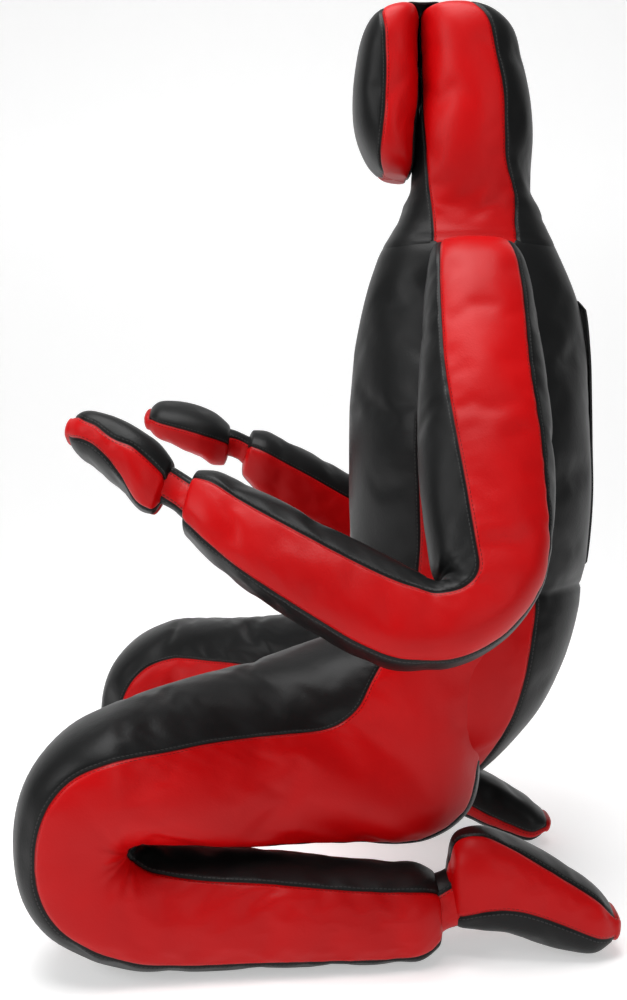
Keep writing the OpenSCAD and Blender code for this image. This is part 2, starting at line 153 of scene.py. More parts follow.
SEAMS_TRUNK = seam_pairs(
    (22, 22, 18, 12, 10, 18, 26) + (28,) * 12,
    (22, 22, 18, 12, 10, 16, 22) + (25,) * 12,
)
SEAMS_PAD = seam_pairs(
    (50, 40, 16, 5, 3, 6, 16, 30, 46, 60, 68),
    (78, 78, 76, 72, 64, 58, 55, 56, 60, 66, 70),
)
SEAMS_HEAD = seam_pairs(
    (72, 76, 77, 76, 74, 60, 52, 44, 35, 28, 24, 22, 22),
    (13, 14, 15, 16, 18, 19, 25, 33, 29, 24, 23, 22, 22),
)
SEAMS_ARM = seam_sides(
    (58, 55, 52, 49, 44, 38, 29, 20, 16, 14, 14, 15, 18, 20, 21, 20, 18, 18, 18, 18, 20, 24, 28),
    (50, 50, 48, 46, 44, 42, 42, 42, 42, 42, 42, 42, 42, 42, 42, 43, 44, 44, 44, 44, 44, 44, 44),
    (46, 46, 46, 46, 46, 48, 50, 54, 58, 60, 62, 62, 62, 62, 62, 62, 62, 62, 62, 62, 62, 60, 58),
    (48, 47, 46, 44, 39, 36, 42, 50, 60, 67, 73, 77, 78, 78, 76, 73, 70, 66, 62, 60, 58, 56, 56),
)
SEAMS_WRIST = (28, 136, 242, 304)
SEAMS_HAND = seam_sides(
    (8, 6, 2, -2, 2, 10, 45),
    (26, 26, 24, 22, 22, 26, 45),
    (70, 66, 62, 60, 56, 50, 50),
    (84, 80, 62, 41, 37, 42, 60),
)
SEAMS_LEG = seam_pairs(
    (16, 17, 19, 21, 16, 11, 14, 21, 23) + (24,) * 5 + (22, 22, 23, 24, 26, 30, 34, 37) + (38,) * 5,
    (60, 60, 62, 64, 64, 64, 64, 62, 60, 60, 62, 64, 64) + (66,) * 6 + (62, 56, 50) + (49,) * 5,
)
SEAMS_ANKLE = (60, 150, 220, 322)
SEAMS_FOOT = seam_sides(
    (80, 80, 76, 66, 58, 55, 53, 45),
    (4, 0, -4, -8, -10, -10, -8, 4),
    (50, 46, 42, 40, 38, 36, 36, 36),
    (42, 34, 20, 10, 6, 6, 10, 18),
)

# ---------------------------------------------------------------- sections

# A section: front y, front z, rear y, rear z, half width, middle x at the front, and at the rear.
TRUNK = [
    (74, 752, 250, 752, 61, 0, 0),
    (66, 741, 257, 741, 71, 0, 0),
    (58, 728, 263, 728, 80, 0, 0),
    (52, 708, 271, 708, 86, 0, 0),
    (42, 668, 285, 668, 92, 0, 0),
    (34, 613, 292, 613, 112, 0, 0),
    (30, 557, 294, 557, 136, 0, 0),
    (29, 505, 295, 505, 149, 0, 0),
    (31, 450, 296, 450, 150, 0, 0),
    (33, 400, 293, 400, 147, 0, 0),
    (31, 366, 289, 368, 144, 0, 0),
    (29, 348, 285, 350, 142, 0, 0),
    (27, 332, 284, 334, 148, 0, 0),
    (24, 300, 276, 296, 160, 0, 0),
    (36, 262, 262, 258, 164, 0, 0),
    (50, 226, 241, 218, 160, 0, 0),
    (66, 190, 213, 184, 148, 0, 0),
    (82, 158, 185, 154, 124, 0, 0),
    (96, 134, 160, 132, 98, 0, 0),
]

HEAD = [
    (114, 1004, 168, 1004, 50, 0, 0),
    (104, 1000, 186, 1000, 64, 0, 0),
    (102, 986, 204, 986, 73, 0, 0),
    (103, 942, 219, 942, 78, 0, 0),
    (103, 897, 229, 897, 78, 0, 0),
    (99, 857, 232, 857, 75, 0, 0),
    (97, 819, 229, 819, 69, 0, 0),
    (93, 797, 231, 797, 64, 0, 0),
    (86, 776, 241, 776, 63, 0, 0),
    (76, 757, 249, 757, 67, 0, 0),
    (68, 745, 255, 745, 71, 0, 0),
    (61, 735, 260, 735, 76.5, 0, 0),
    (60, 727, 261, 727, 77, 0, 0),
]

FACE_PAD = [
    (68, 1003, 99, 1002, 52, 0, 0),
    (50, 996, 102, 994, 64, 0, 0),
    (39, 978, 101, 975, 69, 0, 0),
    (31, 944, 101, 941, 71, 0, 0),
    (27, 902, 102, 899, 71, 0, 0),
    (30, 870, 99.5, 868, 70, 0, 0),
    (37, 850, 98, 847, 68, 0, 0),
    (44, 837, 97, 833, 65, 0, 0),
    (51, 828, 95, 823, 59, 0, 0),
    (56, 822, 93, 817, 49, 0, 0),
    (61, 818, 90, 814, 33, 0, 0),
]

# The arm in its own plane: y and z from the shoulder, x across the arm.
ARM = [
    (-38, 8, 35, 8, 14, -24, -24),
    (-45, -4, 41, -4, 26, -14, -14),
    (-51, -28, 47, -27, 37, -4, -4),
    (-56, -64, 52, -64, 44, 0, 0),
    (-61, -112, 57, -118, 49, 0, 0),
    (-66, -170, 60, -176, 51, 0, 0),
    (-69, -226, 61, -237, 51, 0, 0),
    (-68, -300, 58, -300, 50, 0, 0),
    (-65, -344, 53, -340, 49, 0, 0),
    (-62, -370, 49, -361, 48, 0, 0),
]

ELBOW_BEND = [
    (-56, -381, 40, -390, 48, 0, 0),
    (-55, -385, 20, -420, 47, 0, 0),
    (-58, -387, -3, -441, 46, 0, 0),
    (-63, -387, -27, -455, 45, 0, 0),
]

FOREARM = [
    (-70, -385, -50, -463, 44, 0, 0),
    (-81, -377, -73, -465, 43, 0, 0),
    (-102, -364, -98, -465, 43, 0, 0),
    (-130, -348, -133, -453, 43, 0, 0),
    (-167, -327, -171, -432, 42, 0, 0),
    (-206, -305, -210, -407, 40, 0, 0),
    (-245, -285, -249, -380, 38, 0, 0),
    (-269, -274, -281, -352, 36, 0, 0),
    (-284, -273, -298, -334, 29, 0, 0),
]

WRIST = [
    (-274, -286, -285, -326, 20, 0, 0),
    (-288, -281, -299, -320, 15, 0, 0),
    (-297, -275, -308, -312, 13, 0, 0),
    (-308, -268, -319, -305, 15, 0, 0),
    (-322, -262, -331, -300, 20, 0, 0),
]

HAND = [
    (-311, -262, -331, -313, 24, 0, 0),
    (-321, -248, -343, -308, 32, 0, 0),
    (-337, -235, -359, -289, 38, 0, 0),
    (-357, -223, -376, -275, 38, 0, 0),
    (-378, -215, -392, -261, 36, 0, 0),
    (-398, -211, -406, -251, 30, 0, 0),
    (-410, -217, -415, -240, 20, 0, 0),
]


def leg_sections(ankle_x):
    """Hip, thigh, folded knee and shin of one leg; the shin runs in from the knee to ankle_x."""

    def shin(f):
        return KNEE_X + (ankle_x - KNEE_X) * f

    hip = [
        (40, 348, 204, 352, 66, 84, 84),
        (28, 332, 211, 332, 77, 84, 84),
        (18, 311, 208, 302, 83, 85, 84),
        (3, 299, 196, 260, 84, 88, 84),
        (-24, 289, 183, 216, 83, 100, 86),
        (-52, 282, 168, 170, 82, 116, 90),
        (-78, 277, 154, 118, 80, 132, 100),
        (-104, 273, 108, 94, 80, 152, 130),
        (-132, 269, 30, 97, 81, 172, 150),
        (-158, 265, -32, 105, 82, 192, 176),
        (-180, 261, -90, 112, 83, 210, 202),
        (-201, 257, -140, 122, 83, 226, 222),
        (-221, 251, -175, 128, 83, 237, 236),
    ]
    knee = [
        (-262, 232, -185, 129, 83, KNEE_X, KNEE_X),
        (-291, 202, -188, 128, 83, KNEE_X, KNEE_X),
        (-306, 160, -190, 126, 81, KNEE_X, KNEE_X),
        (-308, 121, -191, 124, 79, KNEE_X, KNEE_X),
        (-300, 78, -190, 121, 76, KNEE_X, KNEE_X),
        (-280, 46, -187, 119, 73, KNEE_X, KNEE_X),
        (-243, 21, -180, 117, 70, shin(0.04), shin(0.04)),
        (-203, 6, -166, 114, 66, shin(0.12), shin(0.12)),
    ]
    shank = [
        (-147, 0, -127, 109, 63, shin(0.3), shin(0.3)),
        (-70, 0, -68, 103, 60, shin(0.5), shin(0.5)),
        (-3, 0, -3, 94, 58, shin(0.7), shin(0.7)),
        (60, 0, 57, 87, 54, shin(0.88), shin(0.88)),
        (92, 3, 89, 84, 50, ankle_x, ankle_x),
        (105, 12, 102, 78, 39, ankle_x, ankle_x),
    ]
    return hip + knee + shank


def ankle_sections(ankle_x):
    """The narrow neck between shin and foot."""
    return [
        (88, 18, 88, 74, 34, ankle_x, ankle_x),
        (102, 20, 102, 76, 32, ankle_x, ankle_x),
        (112, 26, 112, 80, 29, ankle_x - 1, ankle_x - 1),
        (124, 30, 124, 88, 29, ankle_x - 2, ankle_x - 2),
        (138, 34, 138, 98, 28, ankle_x - 3, ankle_x - 3),
    ]


def foot_sections(ankle_x, toe_in, length, height):
    """One foot, laid back from the ankle; its toe runs in by toe_in."""

    def middle(f):
        return ankle_x - 4 - toe_in * f

    rows = [
        (118, 97, 117, 47, 20, ankle_x - 2, ankle_x - 2),
        (123, 116, 122, 31, 33, ankle_x - 3, ankle_x - 3),
        (146, 124, 145, 26, 41, middle(0), middle(0)),
        (179, 115, 175, 22, 43, middle(0.25), middle(0.25)),
        (208, 101, 203, 13, 43, middle(0.5), middle(0.5)),
        (238, 83, 234, 5, 42, middle(0.75), middle(0.75)),
        (266, 63, 262, 3, 38, middle(0.95), middle(0.95)),
        (283, 44, 279, 14, 28, middle(1), middle(1)),
    ]

    def along(y):
        return ANKLE_Y + (y - ANKLE_Y) * length

    return [(along(ya), za * height, along(yb), zb, *rest) for ya, za, yb, zb, *rest in rows]


# ---------------------------------------------------------------- noise


def lattice(ix, iy, iz, seed):
    """Repeatable value from -1 to 1 at each whole-number point."""
    h = (ix * 374761393 + iy * 668265263 + iz * 1442695041 + seed * 1274126177) & 0xFFFFFFFF
    h = ((h ^ (h >> 13)) * 1274126177) & 0xFFFFFFFF
    h = h ^ (h >> 16)
    return (h & 0xFFFF) / 32767.5 - 1.0


def noise(points, seed=0):
    """Smooth noise from -1 to 1 at each row of points."""
    p = np.asarray(points, float)
    base = np.floor(p).astype(np.int64)
    f = p - base
    f = f * f * (3 - 2 * f)
    total = np.zeros(len(p))
    for dx in (0, 1):
        for dy in (0, 1):
            for dz in (0, 1):
                weight = (
                    (f[:, 0] if dx else 1 - f[:, 0])
                    * (f[:, 1] if dy else 1 - f[:, 1])
                    * (f[:, 2] if dz else 1 - f[:, 2])
                )
                total += weight * lattice(base[:, 0] + dx, base[:, 1] + dy, base[:, 2] + dz, seed)
    return total


# ---------------------------------------------------------------- sections to a sewn skin


def smooth_sections(sections, spacing):
    """Sections at an even spacing along a smooth curve through the given ones."""
    s = np.array(sections, float)
    front = s[:, [0, 1, 5]]
    rear = s[:, [2, 3, 6]]
    step = sum(np.linalg.norm(np.diff(edge, axis=0), axis=1) for edge in (front, rear)) / 2
    at = np.concatenate([[0], np.cumsum(np.maximum(step, 0.5))])
    slope = np.gradient(s, at, axis=0)
    count = max(len(s), int(round(at[-1] / spacing)) + 1)
    t = np.linspace(0, at[-1], count)
    k = np.clip(np.searchsorted(at, t, side="right") - 1, 0, len(at) - 2)
    width = at[k + 1] - at[k]
    u = ((t - at[k]) / width)[:, None]
    width = width[:, None]
    h00 = 2 * u**3 - 3 * u**2 + 1
    h10 = u**3 - 2 * u**2 + u
    h01 = -2 * u**3 + 3 * u**2
    h11 = u**3 - u**2
    return h00 * s[k] + h10 * width * slope[k] + h01 * s[k + 1] + h11 * width * slope[k + 1]


def panel_places(length, columns):
    """Where a panel's columns stand across it, in mm: close together by its seams, even between."""
    near = [b * min(1.0, length / 40) for b in SEAM_BANDS]
    inner = np.linspace(near[-1], length - near[-1], columns)
    return np.concatenate([[0], near[:-1], inner, [length - b for b in near[:-1]]])


def skin_grid(sections, seams, squareness, spacing):
    """Points, distance to the nearest seam, and panel number for every row and column."""
    each = seams if isinstance(seams, list) else [seams] * len(sections)
    rows = smooth_sections([(*s, *a) for s, a in zip(sections, each)], spacing)
    power = 2 / squareness
    outlines = []
    lengths = []
    for r in rows:
        angles = np.radians(np.linspace(r[7], r[7] + 360, OUTLINE_POINTS))
        ends = np.radians([*r[7:11], r[7] + 360])
        across = np.sign(np.cos(angles)) * np.abs(np.cos(angles)) ** power
        along = np.sign(np.sin(angles)) * np.abs(np.sin(angles)) ** power
        mix = (along + 1) / 2
        x = r[6] + (r[5] - r[6]) * mix + r[4] * across
        y = r[2] + (r[0] - r[2]) * mix
        z = r[3] + (r[1] - r[3]) * mix
        line = np.stack([x, y, z], axis=1)
        arc = np.concatenate([[0], np.cumsum(np.linalg.norm(np.diff(line, axis=0), axis=1))])
        outlines.append((line, arc))
        lengths.append(np.interp(ends, angles, arc))
    widest = np.max(np.diff(np.array(lengths), axis=1), axis=0)
    columns = [max(3, int(round(w / COLUMN_SPACING))) for w in widest]
    points, gaps, panels = [], [], []
    for (line, arc), stops in zip(outlines, lengths):
        row, gap, panel = [], [], []
        for k in range(4):
            length = stops[k + 1] - stops[k]
            places = panel_places(length, columns[k])
            at = stops[k] + places
            row.append(np.stack([np.interp(at, arc, line[:, c]) for c in range(3)], axis=1))
            gap.append(np.minimum(places, length - places))
            panel.append(np.full(len(places), k))
        points.append(np.concatenate(row))
        gaps.append(np.concatenate(gap))
        panels.append(np.concatenate(panel))
    return np.array(points), np.array(gaps), np.array(panels)[0]


def dome_rows(edge, before, depth, count=CAP_ROWS):
    """Rows that close an open end with a rounded cap of that depth, the last nearly a point."""
    middle = edge.mean(axis=0)
    outward = middle - before.mean(axis=0)
    outward /= np.linalg.norm(outward)
    rows = []
    for k in range(1, count + 1):
        turn = CAP_TURN * k / count
        rows.append(middle + (edge - middle) * math.cos(turn) + outward * depth * math.sin(turn))
    return rows


def write_floats(mesh, label, values):
    """Keeps one number for each point of a mesh."""
    layer = mesh.attributes.new(label, "FLOAT", "POINT")
    layer.data.foreach_set("value", np.array(values, np.float32))


def read_floats(mesh, label):
    """The numbers that write_floats kept."""
    values = np.zeros(len(mesh.vertices), np.float32)
    mesh.attributes[label].data.foreach_get("value", values)
    return values.astype(float)


class Skin:
    """One sewn cover as a closed grid of rows round it, each point with its distance to a seam."""

    def __init__(self, name, sections, seams, tones, place, caps, cap_tone=None, tip_tone=None,
                 squareness=SQUARENESS, spacing=ROW_SPACING):
        points, gaps, panels = skin_grid(sections, seams, squareness, spacing)
        run = np.zeros(gaps.shape)
        run[1:] = np.cumsum(np.linalg.norm(np.diff(points, axis=0), axis=2), axis=0)
        head = dome_rows(points[0], points[1], caps[0])[::-1]
        tail = dome_rows(points[-1], points[-2], caps[1])
        self.name = name
        self.tones = tones
        self.cap_tone = cap_tone
        self.tip_tone = tip_tone
        self.first = len(head)
        self.last = len(head) + len(points) - 1
        self.points = np.concatenate([head, points, tail])
        ends = ((CAP_ROWS, CAP_ROWS), (0, 0))
        self.gaps = np.pad(gaps, ends, mode="edge")
        self.run = np.pad(run, ends, mode="edge")
        self.panels = panels
        if cap_tone is not None:
            self.rim_seam(self.first, slice(0, self.first), cap_tone)
        if tip_tone is not None:
            self.rim_seam(self.last, slice(self.last + 1, None), tip_tone)
        self.place = place
        self.world = place(self.points)
        self.free = np.ones(self.world.shape[0] * self.world.shape[1] + 2)
        self.object = self.build()

    def rim_seam(self, rim, beyond, tone):
        """The panels of the other tone stop at a seam here, and one piece runs over the end."""
        other = np.isin(self.panels, [k for k in range(4) if self.tones[k] != tone])
        reach = np.linalg.norm(self.points - self.points[rim], axis=2)
        self.gaps = np.where(other[None, :], np.minimum(self.gaps, reach), self.gaps)
        self.gaps[beyond] = np.where(other[None, :], reach[beyond], reach[beyond] + CLEAR_OF_RIM)

    def tone_at(self, row, column):
        """The tone of the face that starts at this row and column."""
        if self.cap_tone is not None and row < self.first:
            return self.cap_tone
        if self.tip_tone is not None and row >= self.last:
            return self.tip_tone
        return self.tones[self.panels[column]]

    def build(self):
        """The grid as a closed mesh that keeps its seam distances, with the seams as a group."""
        rows, cols, _ = self.world.shape
        vertices = [tuple(v) for v in self.world.reshape(-1, 3)]
        first_tip = len(vertices)
        vertices.append(tuple(self.world[0].mean(axis=0)))
        vertices.append(tuple(self.world[-1].mean(axis=0)))
        faces, tone_index = [], []
        for r in range(rows - 1):
            for c in range(cols):
                d = (c + 1) % cols
                faces.append((r * cols + c, r * cols + d, (r + 1) * cols + d, (r + 1) * cols + c))
                tone_index.append(TONES.index(self.tone_at(r, c)))
        last = (rows - 1) * cols
        for c in range(cols):
            d = (c + 1) % cols
            faces.append((first_tip, d, c))
            tone_index.append(TONES.index(self.tone_at(0, c)))
            faces.append((first_tip + 1, last + c, last + d))
            tone_index.append(TONES.index(self.tone_at(rows - 1, c)))
        mesh = bpy.data.meshes.new(self.name)
        mesh.from_pydata(vertices, [], faces)
        mesh.polygons.foreach_set("material_index", tone_index)
        for label, grid in (("gap", self.gaps), ("run", self.run)):
            write_floats(mesh, label, [*grid.reshape(-1), grid[0].mean(), grid[-1].mean()])
        write_floats(mesh, "side", [*np.tile(self.panels, rows), 0, 0])
        editable = bmesh.new()
        editable.from_mesh(mesh)
        bmesh.ops.recalc_face_normals(editable, faces=editable.faces)
        editable.to_mesh(mesh)
        editable.free()
        obj = bpy.data.objects.new(self.name, mesh)
        scene.collection.objects.link(obj)
        pinned = obj.vertex_groups.new(name="seams")
        row_of = np.repeat(np.arange(rows), cols)
        hold = (self.gaps.reshape(-1) < HELD_WITHIN) | (row_of < self.first) | (row_of > self.last)
        held = [int(i) for i in np.nonzero(hold)[0]] + [first_tip, first_tip + 1]
        pinned.add(held, 1.0, "REPLACE")
        return obj


# ---------------------------------------------------------------- stuffing by cloth simulation


def hold_at_neck(skin):
    """Damps the swelling where head and trunk meet, so that both covers keep to one line there."""
    ends = skin.world[[0, -1]].mean(axis=1)
    height = np.append(skin.world[:, :, 2].reshape(-1), ends[:, 2]) / MM
    near = np.clip(np.abs(height - NECK_JOIN) / NECK_HOLD, 0, 1)
    skin.free = near * near * (3 - 2 * near)


def stuff(skins, pressure):
    """Fills every cover at once: the seams are held while the cloth between them swells."""
    before = {}
    for skin in skins:
        obj = skin.object
        before[obj.name] = np.array([v.co for v in obj.data.vertices])
        cloth = obj.modifiers.new("stuffing", "CLOTH")
        s = cloth.settings
        s.quality = 5
        s.mass = 0.25
        s.tension_stiffness = 18
        s.compression_stiffness = 18
        s.shear_stiffness = 8
        s.bending_stiffness = 0.4
        s.tension_damping = 12
        s.compression_damping = 12
        s.shear_damping = 12
        s.use_pressure = True
        s.uniform_pressure_force = pressure
        s.shrink_min = -0.008
        s.effector_weights.gravity = 0
        s.vertex_group_mass = "seams"
        cloth.collision_settings.use_collision = False
        cloth.point_cache.frame_start = 1
        cloth.point_cache.frame_end = CLOTH_FRAMES
    for f in range(1, CLOTH_FRAMES + 1):
        scene.frame_set(f)
    graph = bpy.context.evaluated_depsgraph_get()
    for skin in skins:
        obj = skin.object
        shaped = obj.evaluated_get(graph)
        after = np.array([v.co for v in shaped.data.vertices])
        start = before[obj.name]
        move = (after - start) * skin.free[:, None]
        size = np.linalg.norm(move, axis=1, keepdims=True)
        move *= np.minimum(1, MOST_MOVE * MM / np.maximum(size, 1e-9))
        obj.modifiers.clear()
        obj.data.vertices.foreach_set("co", (start + move).astype(np.float32).reshape(-1))
        obj.data.update()
    scene.frame_set(1)


# ---------------------------------------------------------------- seams, puckers and creases


def refine(skin, creases):
    """Smooths the cover one level, then presses in its seams, puckers and creases as real shape."""
    obj = skin.object
    smooth = obj.modifiers.new("smooth", "SUBSURF")
    smooth.levels = 1
    smooth.render_levels = 1
    graph = bpy.context.evaluated_depsgraph_get()
    shaped = obj.evaluated_get(graph)
    mesh = bpy.data.meshes.new_from_object(shaped, preserve_all_data_layers=True, depsgraph=graph)
    obj.modifiers.clear()
    old = obj.data
    obj.data = mesh
    bpy.data.meshes.remove(old)
    mesh.name = skin.name
    place = np.array([v.co for v in mesh.vertices]) / MM
    out = np.array([v.normal for v in mesh.vertices])
    gap, run, side = (read_floats(mesh, label) for label in ("gap", "run", "side"))
    flat = np.zeros(len(gap))
    along = np.stack([run / PUCKER_PITCH, side * 7.3, flat], axis=1)
    strength = 0.45 + 0.55 * noise(np.stack([run / 70, side * 3.1, flat + 5], axis=1), 3)
    press = -SEAM_DEPTH * bell(gap, SEAM_WIDTH)
    press += PUCKER_DEPTH * np.clip(strength, 0, 1) * np.exp(-gap / PUCKER_REACH) * noise(along, 11)
    press += 0.4 * noise(place / 60, 21) + 0.18 * noise(place / 24, 22)
    for crease in creases:
        press += crease(place)
    moved = (place + out * press[:, None]) * MM
    moved[:, 2] = np.maximum(moved[:, 2], FLOOR_CLEARANCE * MM)
    mesh.vertices.foreach_set("co", moved.astype(np.float32).reshape(-1))
    mesh.polygons.foreach_set("use_smooth", [True] * len(mesh.polygons))
    mesh.update()


def bell(distance, reach):
    """1 at no distance, fading smoothly to nothing beyond the reach."""
    return np.exp(-((distance / reach) ** 2))


def radial_crease(centre, depth, inner, reach, folds, seed, axis=None):
    """Folds that run out from a point in the y-z plane, as at a bent knee or elbow."""

    def press(p):
        q = p if axis is None else axis(p)
        dy = q[:, 1] - centre[0]
        dz = q[:, 2] - centre[1]
        far = np.hypot(dy, dz)
        angle = np.arctan2(dz, dy)
        window = np.clip(far / inner, 0, 1) * bell(far, reach)
        wave = noise(np.stack([angle * folds, far / 70, q[:, 0] / 90], axis=1), seed)
        return depth * window * wave

    return press


def ring_seam(height, depth, width, where):
    """A sewn line that lies level, as strong at each point as the given function says."""

    def press(p):
        return -depth * bell(p[:, 2] - height, width) * where(p)

    return press


def level_crease(height, depth, reach, pitch, seed):
    """Folds that lie nearly level round a section, as at a neck or waist."""

    def press(p):
        tilted = p[:, 2] + 0.18 * p[:, 1]
        wave = noise(np.stack([p[:, 0] / 75, p[:, 1] / 60, tilted / pitch], axis=1), seed)
        return depth * bell(p[:, 2] - height, reach) * wave

    return press


# ---------------------------------------------------------------- where the limbs are


def upright(points):
    return points * MM


def mirrored(points):
    return points * MM * np.array([-1, 1, 1])


def side_place(side):
    return mirrored if side == "right" else upright


def arm_place(side):
    """From the arm's own plane to the dummy. The arm leans out from the shoulder on its side."""
    sign = -1 if side == "right" else 1
    lift = RIGHT_SHOULDER_LIFT if side == "right" else 0

    def place(points):
        x, y, z = points[..., 0], points[..., 1], points[..., 2]
        wx = sign * (SHOULDER[0] + x * math.cos(ARM_SPREAD) - z * math.sin(ARM_SPREAD))
        wz = SHOULDER[2] + lift + x * math.sin(ARM_SPREAD) + z * math.cos(ARM_SPREAD)
        return np.stack([wx, SHOULDER[1] + y, wz], axis=-1) * MM

    return place


def to_arm(side):
    """The inverse of arm_place, for points in mm."""
    sign = -1 if side == "right" else 1
    lift = RIGHT_SHOULDER_LIFT if side == "right" else 0

    def inverse(p):
        dx = sign * p[:, 0] - SHOULDER[0]
        dz = p[:, 2] - SHOULDER[2] - lift
        x = dx * math.cos(ARM_SPREAD) + dz * math.sin(ARM_SPREAD)
        z = -dx * math.sin(ARM_SPREAD) + dz * math.cos(ARM_SPREAD)
        return np.stack([x, p[:, 1] - SHOULDER[1], z], axis=1)

    return inverse


def turned(sections, angle, pivot):
    """Sections turned about a point in the arm's plane."""
    c, s = math.cos(angle), math.sin(angle)
    turned_rows = []
    for ya, za, yb, zb, w, xa, xb in sections:
        row = []
        for y, z in ((ya, za), (yb, zb)):
            dy, dz = y - pivot[0], z - pivot[1]
            row += [pivot[0] + dy * c - dz * s, pivot[1] + dy * s + dz * c]
        turned_rows.append((*row, w, xa, xb))
    return turned_rows


def turned_bend(sections, angle, pivot):
    """The same, but the turn grows from nothing at the first section to all of it at the last."""
    last = len(sections) - 1
    rows = []
    for k, row in enumerate(sections):
        rows += turned([row], angle * k / last, pivot)
    return rows


def posed(side, sections, closed=1.0, dropped=0.0, bend=None):
    """The right arm hangs back a little, with its elbow closed further and its hand dropped."""
    if side == "left":
        return sections
    if bend == "wrist":
        sections = turned_bend(sections, RIGHT_WRIST_DROP, WRIST_PIVOT)
    sections = turned(sections, RIGHT_WRIST_DROP * dropped, WRIST_PIVOT)
    if bend == "elbow":
        sections = turned_bend(sections, -RIGHT_ELBOW_CLOSE, ELBOW)
    sections = turned(sections, -RIGHT_ELBOW_CLOSE * closed, ELBOW)
    return turned(sections, RIGHT_ARM_BACK, SHOULDER_PIVOT)


# ---------------------------------------------------------------- materials


class Shading:
    """A new material with its node tree, and short ways to add the nodes that the looks need."""

    def __init__(self, name):
        self.material = bpy.data.materials.new(name)
        self.material.use_nodes = True
        self.tree = self.material.node_tree
        self.shader = self.tree.nodes["Principled BSDF"]
        self.where = self.add("ShaderNodeTexCoord").outputs["Object"]

    def add(self, kind, **inputs):
        """A node of that kind. Each input, such as From_Min, is a value or a node's output."""
        node = self.tree.nodes.new(kind)
        for label, value in inputs.items():
            self.put(node, label.replace("_", " "), value)
        return node

    def put(self, node, label, value):
        if isinstance(value, bpy.types.NodeSocket):
            self.tree.links.new(value, node.inputs[label])
        else:
            node.inputs[label].default_value = value

    def noise(self, scale, detail, distortion=0.0):
        made = self.add("ShaderNodeTexNoise", Vector=self.where, Scale=scale, Detail=detail)
        self.put(made, "Distortion", distortion)
        return made.outputs["Fac"]

    def ramp(self, value, **limits):
        return self.add("ShaderNodeMapRange", Value=value, **limits).outputs["Result"]

    def mix(self, share, first, second, blend="MIX"):
        made = self.add("ShaderNodeMixRGB", Fac=share, Color1=first, Color2=second)
        made.blend_type = blend
        return made.outputs["Color"]

    def sum(self, kind, first, second=0.0):
        made = self.add("ShaderNodeMath")
        made.operation = kind
        self.put(made, 0, first)
        self.put(made, 1, second)
        return made.outputs["Value"]

    def kept(self, label):
        """The numbers that each cover keeps at its points under that label."""
        made = self.add("ShaderNodeAttribute")
        made.attribute_name = label
        return made.outputs["Fac"]

    def bump(self, height, strength, distance, below=None):
        made = self.add("ShaderNodeBump", Height=height, Strength=strength, Distance=distance)
        if below is not None:
            self.put(made, "Normal", below)
        return made.outputs["Normal"]


def opaque(colour, factor=1.0, more=0.0):
    """A colour, made lighter or darker, with full alpha."""
    return (*[min(1, c * factor + more) for c in colour], 1)


def leather(name, colour, shade, thread, roughness):
    """Coated fabric: pressed grain, faint creasing, uneven sheen, slight wear on raised folds,
    painted shade at the seams.
    """
    look = Shading(name)
    patches = look.ramp(look.noise(7, 3), From_Min=0.35, From_Max=0.7)
    tint = look.mix(patches, opaque(colour), opaque(shade))
    folds = look.add("ShaderNodeNewGeometry").outputs["Pointiness"]
    worn = look.ramp(folds, From_Min=0.515, From_Max=0.58, To_Max=0.35)
    wear = look.mix(worn, tint, opaque(colour, 1.25, 0.01))

    gap, run = look.kept("gap"), look.kept("run")
    off_line = look.sum("ABSOLUTE", look.sum("SUBTRACT", gap, STITCH_INSET))
    on_line = look.sum("LESS_THAN", off_line, STITCH_WIDTH)
    turns = look.sum("FRACT", look.sum("DIVIDE", run, STITCH_PITCH))
    stitch = look.sum("MULTIPLY", on_line, look.sum("LESS_THAN", turns, STITCH_SHARE))
    sewn = look.mix(stitch, wear, opaque(thread))
    # Painted shade: the colour is darkened along each sewn seam line, where its shadow would fall.
    seam_painted_shade = look.ramp(gap, From_Min=0.2, From_Max=1.5, To_Min=0.25)
    look.put(look.shader, "Base Color", look.mix(1, sewn, seam_painted_shade, blend="MULTIPLY"))

    rough = look.ramp(look.noise(14, 4), To_Min=roughness - 0.07, To_Max=roughness + 0.09)
    look.put(look.shader, "Roughness", rough)
    look.put(look.shader, "Specular IOR Level", 0.17)

    cells = look.add("ShaderNodeTexVoronoi", Vector=look.where, Scale=620)
    cells.feature = "SMOOTH_F1"
    grain = look.bump(cells.outputs["Distance"], 0.22, 0.0004)
    creasing = look.bump(look.noise(75, 5, 0.6), 0.1, 0.0022, grain)
    look.put(look.shader, "Normal", look.bump(stitch, 0.6, 0.0006, creasing))
    return look.material


def webbing(name, colour, roughness):
    """Woven tape: ribs across and threads along, matt, with painted shade in the hollows of the
    weave.
    """
    look = Shading(name)
    heights = []
    for direction, scale in (("Z", 190), ("X", 150)):
        wave = look.add("ShaderNodeTexWave", Vector=look.where, Scale=scale, Distortion=0.4)
        wave.bands_direction = direction
        heights.append(wave.outputs["Fac"])
    weave = look.sum("MULTIPLY", *heights)
    # Painted shade: the tape's colour is halved in the low parts of the weave, where shadow would
    # fall.
    look.put(look.shader, "Base Color", look.mix(weave, opaque(colour, 0.5), opaque(colour)))
    look.put(look.shader, "Roughness", roughness)
    look.put(look.shader, "Specular IOR Level", 0.2)
    look.put(look.shader, "Normal", look.bump(weave, 0.7, 0.0008))
    return look.material


LOOKS = {
    STRAP: webbing("strap_webbing", (0.022, 0.022, 0.023), roughness=0.7),
    BLACK: leather(
        "black_coated_fabric",
        colour=(0.0045, 0.0047, 0.0048),
        shade=(0.0068, 0.0071, 0.0073),
        thread=(0.03, 0.03, 0.03),
        roughness=0.40,
    ),
    RED: leather(
        "red_coated_fabric",
        colour=(0.47, 0.0003, 0.0012),
        shade=(0.37, 0.0002, 0.001),
        thread=(0.16, 0.0004, 0.001),
        roughness=0.40,
    ),
}


# ---------------------------------------------------------------- the covers


